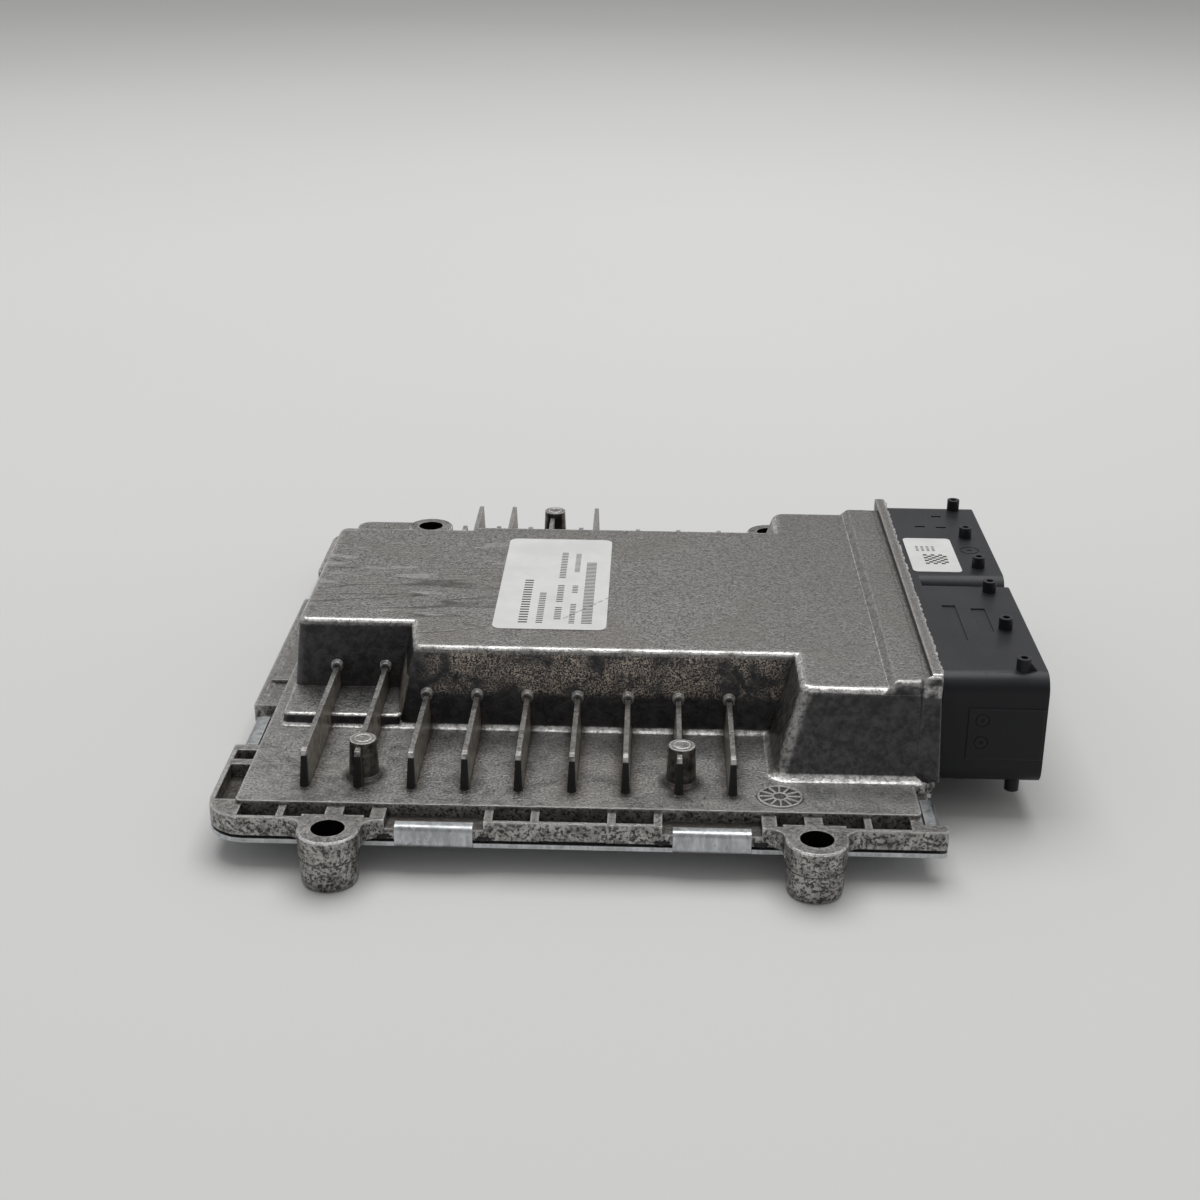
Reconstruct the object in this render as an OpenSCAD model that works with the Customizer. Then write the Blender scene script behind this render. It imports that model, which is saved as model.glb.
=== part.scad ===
/* [Mounting feet] */
// Hole spacing across the unit
hole_dx = 97; // [94:0.5:100]
// Distance of the hole centres outside the front and rear edges of the flange
foot_out = 4.3; // [3.8:0.1:5]
// Radius of each mounting hole
hole_r = 3.3; // [2.7:0.1:3.6]
// Radius of a foot at its top
foot_r = 6.3; // [6:0.1:6.8]
// Radius lost between the top and the bottom of a foot
foot_taper = 0.6; // [0.2:0.1:0.9]
// Radius of the flare between a foot and the flange
flare_r = 3; // [2:0.1:3.6]
// Height of the sealing face above the mounting plane
seat_z = 7.2; // [7:0.1:9]

/* [Flange] */
// Width of the flange
flange_w = 149.6; // [148.6:0.2:151]
// Depth of the flange
flange_d = 168.4; // [167:0.2:169.6]
// Radius of the two corners away from the connector
corner_r = 8; // [6:0.5:9]
// Height of the flange lip
lip_h = 4.1; // [3.8:0.1:4.6]
// Wall of the lip in front of its pockets
lip_wall = 1; // [0.8:0.1:1.3]
// Distance from the flange edge to the deck edge
deck_inset = 5.6; // [5.2:0.1:6]
// Height of the deck above the lip
deck_step = 0.8; // [0.4:0.1:1.2]
// Thickness left under each pocket
pocket_floor = 1.2; // [0.8:0.1:1.6]

/* [Cast body] */
// Height of the plateau above the mounting plane
plateau_z = 31; // [30:0.5:34]
// Rise of the strip by the rim over the plateau
strip_rise = 1.6; // [1:0.1:2]
// Rise of the connector rim over the strip
rim_rise = 1.5; // [1.2:0.1:2]
// Height of the low ledge above the deck
ledge_rise = 2.9; // [2.4:0.1:3.4]
// Casting wall thickness
wall = 2.2; // [1.8:0.1:2.6]
// Draft of the outer walls in degrees
draft = 5; // [3:0.5:7]
// Draft of the recess side and of the connector block in degrees
block_draft = 16.5; // [13:0.5:17]
// Fillet at the foot of the cast walls
root_fillet = 1.5; // [1:0.1:2]
// Fillet at the top edge of the cast walls
crown_fillet = 1.1; // [0.6:0.1:1.4]

/* [Fins] */
// Spacing of the fins
fin_pitch = 11.05; // [10.8:0.05:11.2]
// Height of the front fins above the deck
fin_h = 7.9; // [6:0.1:9]
// Thickness of a fin at its top
fin_tip = 1.1; // [0.8:0.1:1.4]
// Thickness of a fin at its root
fin_root = 1.9; // [1.6:0.1:2.4]
// Radius of a screw boss at its top
boss_r = 2.75; // [2.6:0.05:3.2]

/* [Connector] */
// Length of the connector rim
rim_len = 113; // [112:0.2:115]
// Thickness of the connector rim
rim_t = 2.2; // [2:0.1:2.6]
// Reach of the connector out of the rim
bay_reach = 22.2; // [20:0.2:24]
// Wall of the connector shrouds
shroud_wall = 2; // [1.6:0.1:2.4]
// Corner radius of the shrouds
shroud_r = 4; // [3:0.2:4.6]
// Gap between the two shrouds
bay_gap = 0.8; // [0.5:0.1:1.4]
// Height of the hollow cam posts
post_h = 2.8; // [2:0.1:3.2]
// Thickness of the signal pins
pin_t = 0.64; // [0.5:0.02:0.8]
// Width of the power blades
blade_w = 2.8; // [2:0.1:3]
// Clearance around the connector in its opening
fit = 0.15; // [0.1:0.01:0.25]

/* [Closing sheet and seals] */
// Thickness of the base sheet
sheet_t = 1; // [0.8:0.1:1.2]
// Depth of the pan pressed into the base sheet
pan_h = 2; // [1.6:0.1:2.2]
// Width of a front or rear crimp tab
tab_w = 15.8; // [12:0.2:17]
// Width of a crimp tab beside the connector
short_tab_w = 10.8; // [9:0.2:11]
// Length of sheet folded over the flange
tab_fold = 1.6; // [1.2:0.1:2.2]
// Thickness of the sealing bead under the flange
seal_t = 0.7; // [0.5:0.1:0.9]
// Thickness of the sealing bead round the connector
bead_t = 0.5; // [0.4:0.05:0.8]

/* [Circuit board] */
// Thickness of the board
board_t = 1.6; // [1.2:0.1:1.7]
// Radius of the board screw shanks
screw_r = 1.5; // [1.3:0.05:1.7]

/* [Labels] */
// Width of the plateau label
label_w = 25.6; // [22:0.2:28]
// Length of the plateau label
label_d = 57.8; // [50:0.2:60]
// Thickness of the labels
label_t = 0.15; // [0.1:0.01:0.25]

/* [Hidden] */
$fn = 32;

// Overlap that lets joined solids fuse and cuts pass through
eps = 0.02;
over = 1;

// Half sizes of the bolt pattern, the flange and the deck
fx = flange_w / 2;
fy = flange_d / 2;
hx = hole_dx / 2;
hy = fy + foot_out;
flange_right = fx + 0.5;
deck_x = fx - deck_inset;
deck_y = fy - deck_inset;

// Heights, from the sealing face up and down
lip_z = seat_z + lip_h;
deck_z = lip_z + deck_step;
deck_t = 2;
roof_z = deck_z - deck_t;
ledge_z = deck_z + ledge_rise;
crimp_z = lip_z - 1.9;
strip_z = plateau_z + strip_rise;
rim_z = strip_z + rim_rise;
sheet_z1 = seat_z - seal_t;
sheet_z0 = sheet_z1 - sheet_t;
pan_z0 = sheet_z0 - pan_h;

// Sideways run of a drafted wall between two heights
function run(z0, z1, angle = draft) = (z1 - z0) * tan(angle);

// Rectangles are [left, right, front, rear], and outlines are lists of points, counter-clockwise
function grow(b, d) = [b[0] - d, b[1] + d, b[2] - d, b[3] + d];
function quad(b) = [[b[0], b[2]], [b[1], b[2]], [b[1], b[3]], [b[0], b[3]]];

// Plan position as shares of the flange half sizes
function spot(u, v) = [u * fx, v * fy];

// Connector rim, and the block behind it with its raised strip
rim_x1 = fx + 1.1;
rim_x0 = rim_x1 - rim_t;
rim_groove = 0.4;
rim_y0 = -0.694 * fy;
rim_y1 = rim_y0 + rim_len;
strip_run = run(deck_z, strip_z, block_draft);
strip_w = 8.6;
block_right = rim_x0 - rim_groove;
block_front = rim_y0 - strip_run - 0.1;
block_rear = rim_y1 + 1.4;
strip_left = block_right - strip_w;

// Plan positions of the cast body on the deck
body_left = -deck_x + 3;
body_rear = 0.413 * fy;
rear_left = -0.436 * fx;
rear_step = 2.3;
recess_left = -0.543 * fx;
recess_slant = 2;
recess_draft = 12;
recess_right = 0.548 * fx;
wing_front = -0.3456 * fy;
wall_front = -0.5154 * fy;

// Opening in the rim and the connector in it
open_y0 = rim_y0 + 4.2;
open_y1 = rim_y1 - 6;
open_z = plateau_z - wall - 0.1;
bay_x0 = rim_x1 + bead_t;
bay_x1 = bay_x0 + bay_reach;
bay_flange = 2;
bay_floor = bay_x0 + 3.6;
bay_y0 = rim_y0 + 1.8;
bay_y1 = rim_y1 - 1.3;
bay_mid = rim_y0 + 0.504 * rim_len;
bay_z0 = seat_z + 0.4;
bay_z1 = rim_z - 1.1;
tail_x0 = block_right - wall - 0.7;
front_bay = [bay_y0, bay_mid - bay_gap / 2, bay_z0, bay_z1];
rear_bay = [bay_mid + bay_gap / 2, bay_y1, bay_z0, bay_z1];
post_r = 1.55;
panel_t = 0.3;
mark_t = 0.2;
post_x = bay_x1 - 5.1;

// Place along a bay as a share of its length
function along(bay, share) = bay[0] + share * (bay[1] - bay[0]);
posts = concat([for (f = [0.08, 0.482, 0.883]) along(front_bay, f)],
    [for (f = [0.161, 0.543, 0.927]) along(rear_bay, f)]);

// Board, its screws and the inside of the casting
cavity = [-deck_x + wall + 0.4, block_right - wall, -deck_y + wall, deck_y - wall];
board = [cavity[0] + 1.2, tail_x0 - 0.6, cavity[2] + 1.2, cavity[3] - 1.2];
board_z1 = roof_z - 1.5;
board_z0 = board_z1 - board_t;
pad_t = 0.4;
package_h = roof_z - board_z1 - pad_t;
boss_z = deck_z + fin_h + 0.6;
rear_boss_z = boss_z + 3.1;
fin_x0 = -deck_x + 13.2;
boss_shift = 0.5;
front_boss_y = -deck_y + 12.3;
screws = [each [for (i = [1, 7]) [fin_x0 + i * fin_pitch + boss_shift, front_boss_y, boss_z]],
    [fin_x0 + 4.01 * fin_pitch, deck_y - 9.1, rear_boss_z]];
screw_len = 9;
screw_fit = 0.05;

// Fin rows
fin_front = -deck_y + 5.6;
fin_slope = 1.7;
front_fins = [for (i = [0:8]) fin_x0 + i * fin_pitch];
tall_fins = [for (i = [2.13, 2.96, 3.96, 5.03]) fin_x0 + i * fin_pitch];
short_fins = [for (i = [6:8]) fin_x0 + (i + 0.08) * fin_pitch];
tall_fin_z = deck_z + fin_h + 2.4;
tall_fin_end = deck_y - 1.2;
short_fin_end = deck_y - 11;

// Crimp tabs: offset along the edge for each side
notch_w = 20;
front_tabs = [-0.374 * fx, 0.374 * fx];
left_tabs = [-0.511 * fy, 0.511 * fy];
left_tab_w = 0.88 * tab_w;
left_notches = [for (c = fy * [-0.499, 0.499]) [c - notch_w / 2, c + notch_w / 2]];
end_land = 3.1;
tab_play = 0.3;
right_tab_y = fy - end_land - tab_play - short_tab_w / 2;
right_tabs = [-right_tab_y, right_tab_y];
notch_end = rim_y0 - tab_play;
right_notches = [[-fy + end_land, notch_end], [-notch_end, fy - end_land]];
left_edge = fx - 2.3;
right_edge = flange_right - 2.2;
side_fold = tab_fold + 0.6;
right_seat = crimp_z + 0.6;
deck_right = right_edge - side_fold - 0.5;
shelf_z = right_seat - 1.2;
pry_slot = [-0.09 * fx, 0.09 * fx];
foot_gap = 0.4;

// Pockets along the front and rear edges and at the left corners, and shallow panels along the left edge
function both(list) = concat(list, [for (p = list) [-p[1], -p[0]]]);
front_pockets = fx * concat([[-0.092, 0.092]],
    both([[0.115, 0.217], [0.548, 0.623], [0.672, 0.783], [0.803, 0.908]]));
left_pockets = fy * both([[0.647, 0.698], [0.726, 0.91]]);
left_panels = fy * concat([[-0.195, 0.195]], both([[0.215, 0.364]]));
panel_depth = 0.9;
panel_slant = 1.1;

// Pins: rows by height, columns along the connector
function row_z(share) = seat_z + share * (open_z - seat_z);
signal_rows = [for (k = [0:3]) row_z(0.279 + 0.2186 * k)];
power_rows = [for (k = [0:2]) row_z(0.344 + 0.279 * k)];
front_signal_y = [for (i = [0:12]) along(front_bay, 0.107 + 0.0471 * i)];
rear_signal_y = [for (i = [0:12]) along(rear_bay, 0.341 + 0.0446 * i)];
front_power_y = [along(front_bay, 0.759), along(front_bay, 0.853)];
rear_power_y = [along(rear_bay, 0.118), along(rear_bay, 0.207)];
// Keying rib in the rear bay, just clear of the last column of pins
key_clear = 0.0083;
key_y = rear_signal_y[len(rear_signal_y) - 1] + pin_t / 2 + key_clear;
pin_tip_x = bay_x1 - 6;
leg_x = tail_x0 - 2.2;
leg_step = 2;
blade_t = 0.8;

// Points of an arc in the plane
function arc(cx, cy, r, a0, a1, n = 5) =
    [for (i = [0:n]) let (a = a0 + (a1 - a0) * i / n) [cx + r * cos(a), cy + r * sin(a)]];

// Rectangle with one radius for its two left corners and one for its two right corners
function rounded(b, left_r, right_r, n = 5) = concat(
    arc(b[0] + left_r, b[2] + left_r, left_r, 180, 270, n),
    arc(b[1] - right_r, b[2] + right_r, right_r, 270, 360, n),
    arc(b[1] - right_r, b[3] - right_r, right_r, 0, 90, n),
    arc(b[0] + left_r, b[3] - left_r, left_r, 90, 180, n));

// Outward normal of an edge, and the way a corner moves when both its edges move out by one
function edge_normal(p, i) = let (d = p[(i + 1) % len(p)] - p[i]) [d[1], -d[0]] / norm(d);
function normal_before(p, i) = edge_normal(p, (i + len(p) - 1) % len(p));
function corner_way(p, i) = let (a = normal_before(p, i), b = edge_normal(p, i)) (a + b) / (1 + a * b);

// Convex outline moved outward, with round corners, or lifted to a height
function grown(p, d) = [for (i = [0:len(p) - 1]) p[i] + d * corner_way(p, i)];
function softened(p, r, n = 4) = [for (i = [0:len(p) - 1])
    let (a = normal_before(p, i), turn = acos(a * edge_normal(p, i)), c = p[i] - r * corner_way(p, i))
    for (k = [0:n]) let (t = atan2(a[1], a[0]) + turn * k / n) c + r * [cos(t), sin(t)]];
function lifted(p, z) = [for (q = p) [q[0], q[1], z]];
function ring(p, r, z) = lifted(softened(p, r), z);

// Closed solid through a stack of like rings
module loft(rings) {
    n = len(rings[0]);
    last = len(rings) - 1;
    points = [for (r = rings) each r];
    sides = [for (k = [0:last - 1]) for (i = [0:n - 1]) let (j = (i + 1) % n)
        [k * n + i, (k + 1) * n + i, (k + 1) * n + j, k * n + j]];
    bottom = [for (i = [0:n - 1]) i];
    top = [for (i = [n - 1:-1:0]) last * n + i];
    polyhedron(points, concat([bottom], sides, [top]));
}

// Straight-edged block between two outlines
module wedge(base, top, z0, z1) loft([lifted(base, z0), lifted(top, z1)]);

// Cast block with drafted walls, round corners, a root fillet and a crown fillet
module cast_block(base, top, z0, z1, r, root = root_fillet, crown = crown_fillet, sink = 2.5) {
    h = z1 - z0;
    root_rings = [for (a = [0, 30, 60]) let (d = root * (1 - sin(a)))
        ring(grown(base, d), r + d, z0 - eps + root * (1 - cos(a)))];
    wall_ring = [ring(base + (top - base) * root / h, r, z0 + root)];
    crown_rings = [for (a = [0:22.5:90]) let (z = h - crown + crown * sin(a), d = crown * (1 - cos(a)))
        ring(grown(base + (top - base) * z / h, -d), r - d, z0 + z)];
    loft(concat([ring(grown(base, root), r + root, z0 - sink)], root_rings, wall_ring, crown_rings));
}

// Box from corner to corner
module box(b, z0, z1) {
    translate([b[0], b[2], z0]) cube([b[1] - b[0], b[3] - b[2], z1 - z0]);
}

// Outline in the YZ plane pushed along X, and outline in the XZ plane pushed along Y
module along_x(x0, x1) {
    translate([x0, 0, 0]) rotate([90, 0, 90]) linear_extrude(x1 - x0) children();
}
module along_y(y0, y1) {
    translate([0, y1, 0]) rotate([90, 0, 0]) linear_extrude(y1 - y0) children();
}

// Base and top outlines of the blocks of the cast body
body_run = run(deck_z, plateau_z);
block_run = run(deck_z, plateau_z, block_draft);
recess_run = run(deck_z, plateau_z, recess_draft);
body_right = recess_right + 20;
wing_base = quad([body_left, body_right - 1, wing_front, body_rear]);
wing_top = wing_base + [[body_run, body_run], [0, body_run], [0, -body_run], [body_run, -body_run]];
main_base = [[recess_left, wall_front], [body_right, wall_front], [body_right, body_rear - 1],
    [recess_left - recess_slant * (body_rear - wall_front) / (wing_front - wall_front), body_rear - 1]];
main_top = main_base + [[recess_run, body_run], [0, body_run], [0, -body_run], [recess_run, -body_run]];
block_base = quad([recess_right, block_right, block_front, block_rear]);
block_top = block_base + [[block_run, block_run], [0, block_run], [0, -block_run], [block_run, -block_run]];
strip_top = block_base + strip_run * [[1, 1], [0, 1], [0, -1], [1, -1]];
rear_base = quad([rear_left, body_right - 2, wing_front, body_rear + rear_step]);
rear_top = rear_base + body_run * [[1, 1], [0, 1], [0, -1], [1, -1]];
step_base = quad([body_left, recess_left + 1, wall_front - 0.2, wing_front + 4]);
step_top = step_base + run(deck_z, ledge_z) * [[1, 1], [0, 1], [0, 0], [1, 0]];

module cast_body() {
    cast_block(wing_base, wing_top, deck_z, plateau_z, 2.2);
    cast_block(main_base, main_top, deck_z, plateau_z - eps, 2.2);
    cast_block(block_base, block_top, deck_z, plateau_z - 2 * eps, 3);
    cast_block(step_base, step_top, deck_z, ledge_z, 1.6, root_fillet * 0.6, 0.7);
    cast_block(rear_base, rear_top, deck_z, plateau_z - 3 * eps, 2.2);
    intersection() {
        cast_block(block_base, strip_top, deck_z, strip_z, 3);
        strip_limit();
    }
}

// Room that the raised strip keeps to, with a sloped left side and a soft upper edge
module strip_limit() {
    low = crown_fillet + 0.2;
    slope = [[-low, -low], [strip_rise - 0.5, strip_rise - 0.5], [strip_rise - 0.15, strip_rise],
        [strip_rise + eps, strip_rise + 0.8]];
    loft([for (s = slope) lifted(quad([strip_left + s[1], rim_x0, block_front - over, block_rear + over]),
        plateau_z + s[0])]);
}

// Upright rim plate that the connector is sealed against, with the neck that carries it
module connector_rim() {
    along_x(rim_x0, rim_x1) polygon(rounded([rim_y0, rim_y1, seat_z, rim_z], 1, 1));
    neck = [rim_x0 - 4, rim_x0 + eps, rim_y0 + 0.8, block_rear - strip_run - 0.8];
    box(neck, seat_z + 0.5, strip_z - 0.1);
    foot_neck = [rim_x0 - 4, rim_x0 + eps, rim_y0 + 0.5, rim_y1 - 0.5];
    box(foot_neck, seat_z + 0.5, deck_z + 4);
}

// Outline shared by the flange and the base sheet
module flange_outline() polygon(rounded([-fx, flange_right, -fy, fy], corner_r, 1.2));

// Cuts through the edge that let the left and right crimp tabs sit inside the outline
module edge_notches(z0, z1) {
    for (notch = left_notches) box([-fx - over, -left_edge, notch[0], notch[1]], z0, z1);
    for (notch = right_notches) box([right_edge, fx + over, notch[0], notch[1]], z0, z1);
}

// Round cuts that let the sheet and its bead pass the feet
module foot_clearances(z0, z1) {
    for (x = [-hx, hx], y = [-hy, hy])
        translate([x, y, z0]) cylinder(h = z1 - z0, r = foot_r + foot_gap);
}

// Flange with blind pockets and with lowered steps under the crimp tabs
module flange() {
    pocket_z = seat_z + pocket_floor;
    pocket_d = deck_inset - lip_wall;
    difference() {
        translate([0, 0, seat_z]) linear_extrude(lip_h) flange_outline();
        for (side = [-1, 1]) {
            for (p = front_pockets)
                translate([p[0], side * (fy + deck_y - lip_wall) / 2 - pocket_d / 2, pocket_z])
                    cube([p[1] - p[0], pocket_d, lip_h]);
            for (c = front_tabs)
                translate([c - notch_w / 2, side * (fy + deck_y) / 2 - deck_inset, crimp_z])
                    cube([notch_w, deck_inset * 2, lip_h]);
        }
        for (p = left_pockets) box([-fx + lip_wall, -deck_x, p[0], p[1]], pocket_z, lip_z + over);
        for (p = left_panels)
            wedge(quad([-fx + lip_wall + panel_slant, -deck_x, p[0], p[1]]),
                quad([-fx + lip_wall, -deck_x, p[0], p[1]]), lip_z - panel_depth, lip_z + eps);
        for (notch = right_notches)
            box([deck_right, fx + over, notch[0], notch[1]], right_seat, lip_z + over);
        for (notch = left_notches) box([-fx - over, -deck_x, notch[0], notch[1]], crimp_z, lip_z + over);
        edge_notches(seat_z - over, lip_z + over);
        box([pry_slot[0], pry_slot[1], -fy - over, -fy + 0.3], seat_z - over, seat_z + 0.9);
    }
}

// Outline that flares from a foot to the flange edge
module flare() {
    edge = foot_out + eps;
    centre = [sqrt(pow(foot_r + flare_r, 2) - pow(edge - flare_r, 2)), edge - flare_r];
    touch = atan2(centre[1], centre[0]);
    right = arc(centre[0], centre[1], flare_r, 180 + touch, 90);
    polygon(concat([[0, 0]], right, [for (i = [len(right) - 1:-1:0]) [-right[i][0], right[i][1]]]));
}

// Tapered foot with a round bottom edge, a parting line, a proud top and flares to the flange
module foot() {
    bottom_r = foot_r - foot_taper;
    edge = 0.35 * (bottom_r - hole_r);
    part_z = 0.55 * lip_z;
    part_r = bottom_r + foot_taper * 0.55;
    proud = 0.4;
    rotate_extrude() polygon(concat([[0, 0]], arc(bottom_r - edge, edge, edge, 270, 360, 4),
        [[part_r, part_z - 0.15], [part_r + 0.12, part_z], [part_r, part_z + 0.15], [foot_r, lip_z],
            [foot_r - proud, lip_z + proud], [0, lip_z + proud]]));
    translate([0, 0, seat_z]) linear_extrude(lip_h - eps) flare();
    box([-foot_r, foot_r, 0, foot_out + 2], seat_z, lip_z - eps);
}

module feet() {
    for (x = [-hx, hx]) {
        translate([x, -hy, 0]) foot();
        translate([x, hy, 0]) rotate([0, 0, 180]) foot();
    }
    gate_mark = [-hx - 2, -hx, -hy - foot_r + 0.1, -hy - foot_r + 2];
    box(gate_mark, 0.52 * lip_z, 0.8 * lip_z);
    ear = [-hx - 20.8, -hx, fy - 6, hy + 3.6];
    translate([0, 0, seat_z]) linear_extrude(lip_h - eps) polygon(rounded(ear, 3.6, 0.5));
}

// Fin that narrows upward, with a sloped front end
module fin(x, y0, y1, z1, slope0, slope1) {
    wedge(quad([x - fin_root / 2, x + fin_root / 2, y0, y1]),
        quad([x - fin_tip / 2, x + fin_tip / 2, y0 + slope0, y1 - slope1]), deck_z - over, z1);
}

// Fin rows, the round ends where fins meet the wall, and the bosses over the board screws
module fins() {
    fin_z = deck_z + fin_h;
    wing_y = wing_front + run(deck_z, fin_z);
    wall_y = wall_front + run(deck_z, fin_z);
    for (x = front_fins) {
        end_y = x < recess_left ? wing_y : wall_y;
        fin(x, fin_front, end_y + 2, fin_z, fin_slope, 0);
        translate([x, end_y + over, fin_z]) rotate([90, 0, 0])
            cylinder(h = over + 1.1, r1 = 1.7, r2 = 1.2, $fn = 14);
    }
    for (x = tall_fins) fin(x, body_rear - 3, tall_fin_end, tall_fin_z, 0, fin_slope);
    for (x = short_fins) fin(x, body_rear - 3, short_fin_end, fin_z, 0, fin_slope);
    for (s = screws)
        translate([s[0], s[1], deck_z - over])
            cylinder(h = s[2] - deck_z + over, r1 = boss_r + 0.5, r2 = boss_r);
    rear_ribs = fx * [-0.505, -0.377, -0.257, -0.066];
    rib_end = fy - tab_fold - 0.8;
    for (x = rear_ribs)
        wedge(quad([x - 0.9, x + 0.9, deck_y - 2, rib_end]),
            quad([x - 0.6, x + 0.6, deck_y - 1.5, rib_end - 0.6]), seat_z + over, lip_z + 3.3);
}

// Cast date wheel with plain ticks, raised on the deck
module date_wheel() {
    wheel_r = 4.7;
    line = 0.45;
    rise = 0.25;
    translate([0.563 * fx, -deck_y + 6.5, deck_z - rise]) {
        for (r = [wheel_r, 1.7]) difference() {
            cylinder(h = rise * 2, r = r);
            translate([0, 0, -over]) cylinder(h = rise * 2 + 2 * over, r = r - line);
        }
        for (a = [0:30:330]) rotate([0, 0, a])
            translate([1.6, -line / 2, 0]) cube([wheel_r - 1.9, line, rise * 2]);
    }
}

// Everything hollow in the casting, open downward
module housing_inside() {
    floor_z = seat_z - over;
    box([cavity[0], deck_right - wall, cavity[2], cavity[3]], floor_z, roof_z);
    box(cavity, floor_z, shelf_z);
    for (shell = [[wing_base, wing_top, 0], [main_base, main_top, 0.1], [block_base, block_top, 0.2],
        [rear_base, rear_top, 0.3]])
        wedge(grown(shell[0], -wall - shell[2]), grown(shell[1], -wall - shell[2]), floor_z,
            plateau_z - wall - shell[2]);
    wedge(grown(step_base, -wall - 0.8), grown(step_top, -wall - 0.8), floor_z, ledge_z - wall);
    box([tail_x0, rim_x1 + over, open_y0, open_y1], floor_z, open_z);
}

module housing() {
    color([0.62, 0.61, 0.59]) difference() {
        union() {
            difference() {
                union() {
                    flange();
                    translate([0, 0, seat_z]) linear_extrude(deck_z - seat_z)
                        polygon(rounded([-deck_x, deck_right, -deck_y, deck_y], 1.2, 1.2, 2));
                    cast_body();
                    connector_rim();
                    feet();
                    fins();
                    date_wheel();
                }
                housing_inside();
            }
            for (s = screws)
                translate([s[0], s[1], board_z1]) cylinder(h = roof_z - board_z1 + over, r = boss_r + 0.8);
        }
        for (x = [-hx, hx], y = [-hy, hy])
            translate([x, y, -over]) cylinder(h = lip_z + 2 * over, r = hole_r);
        for (s = screws)
            translate([s[0], s[1], board_z1 - over])
                cylinder(h = screw_len - board_t + over, r = screw_r + screw_fit);
    }
}

// Crimp tab of the base sheet: up the edge and folded over the notch
module crimp_tab(edge, w, fold = tab_fold, seat = crimp_z) {
    bend = 1.2;
    top_z = seat + sheet_t;
    out = -edge - sheet_t;
    along_x(-w / 2, w / 2) polygon(concat(
        [[-edge + over, sheet_z0]],
        arc(out + bend, sheet_z0 + bend, bend, 270, 180, 4),
        arc(out + bend, top_z - bend, bend, 180, 90, 4),
        [[-edge + fold, top_z], [-edge + fold, seat], [-edge, seat], [-edge, sheet_z1],
            [-edge + over, sheet_z1]]));
}

// Pressed steel sheet with a shallow pan and folded crimp tabs
module base_plate() {
    pan = [cavity[0] + 1, fx - 6.5, cavity[2] + 0.8, cavity[3] - 0.8];
    slope = 1.5;
    color([0.72, 0.74, 0.76]) difference() {
        union() {
            difference() {
                translate([0, 0, sheet_z0]) linear_extrude(sheet_t) flange_outline();
                edge_notches(sheet_z0 - over, sheet_z1 + over);
                foot_clearances(sheet_z0 - over, sheet_z1 + over);
            }
            wedge(quad(grow(pan, -slope)), quad(pan), pan_z0, sheet_z1 - eps);
            for (c = front_tabs) {
                translate([c, 0, 0]) crimp_tab(fy, tab_w);
                translate([c, 0, 0]) rotate([0, 0, 180]) crimp_tab(fy, tab_w);
            }
            for (c = left_tabs)
                translate([0, c, 0]) rotate([0, 0, -90]) crimp_tab(left_edge, left_tab_w, side_fold);
            for (c = right_tabs)
                translate([0, c, 0]) rotate([0, 0, 90])
                    crimp_tab(right_edge, short_tab_w, side_fold, right_seat);
        }
        wedge(quad(grow(pan, -slope)), quad(pan), pan_z0 + sheet_t, sheet_z1 + sheet_t);
    }
}

// Black bead between the flange and the base sheet
module rim_seal() {
    inner = [cavity[0] - 1, fx - 5, cavity[2] - 1, cavity[3] + 1];
    color([0.05, 0.05, 0.05]) difference() {
        translate([0, 0, sheet_z1]) linear_extrude(seal_t) difference() {
            polygon(rounded([-fx + 0.9, fx - 0.9, -fy + 0.9, fy - 0.9], corner_r - 0.9, 1));
            polygon(rounded(inner, 2, 2));
        }
        edge_notches(sheet_z1 - over, seat_z + over);
        foot_clearances(sheet_z1 - over, seat_z + over);
    }
}

// L-shaped pin outline in the XZ plane, from the pointed tip to the board
function pin_outline(z, t, leg) = [
    [pin_tip_x, z - t / 6], [pin_tip_x, z + t / 6], [pin_tip_x - 1.2, z + t / 2],
    [leg - t / 2, z + t / 2], [leg - t / 2, board_z1], [leg + t / 2, board_z1],
    [leg + t / 2, z - t / 2], [pin_tip_x - 1.2, z - t / 2]];

module pins(rows, columns, w, t) {
    for (k = [0:len(rows) - 1], y = columns)
        along_y(y - w / 2, y + w / 2) polygon(pin_outline(rows[k], t, leg_x - k * leg_step));
}

// Straight passages for the pins through the connector body
module pin_passages(rows, columns, w, t) {
    for (z = rows, y = columns)
        box([tail_x0 - over, bay_floor + over, y - w / 2, y + w / 2], z - t / 2, z + t / 2);
}

// Hollow cam posts above and below the shrouds, the first with a gusset
module cam_posts() {
    for (y = posts, side = [0, 1])
        translate([post_x, y, side * (bay_z1 - shroud_wall / 2) + (1 - side) * (bay_z0 + shroud_wall / 2)])
            mirror([0, 0, 1 - side]) difference() {
                cylinder(h = post_h + shroud_wall / 2, r = post_r);
                translate([0, 0, post_h]) cylinder(h = shroud_wall, r = 0.8);
            }
    gusset_z = bay_z1 + 0.6 * post_h;
    along_y(posts[0] - 0.5, posts[0] + 0.5) polygon([[post_x, bay_z1 - eps], [post_x + 2.9, bay_z1 - eps],
        [post_x + post_r, gusset_z], [post_x, gusset_z]]);
}

// Ring with a centre dimple, as a mould insert leaves it
module round_mark(r) {
    difference() {
        cylinder(h = over, r = r);
        translate([0, 0, -over]) cylinder(h = 3 * over, r = r - 0.4);
    }
    cylinder(h = over, r = 0.25 * r);
}

// Shallow cut in the top of the shrouds
module sunk_panel(x, w, y0, y1) {
    box([bay_x0 + x, bay_x0 + x + w, y0, y1], bay_z1 - panel_t, bay_z1 + over);
}

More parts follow.
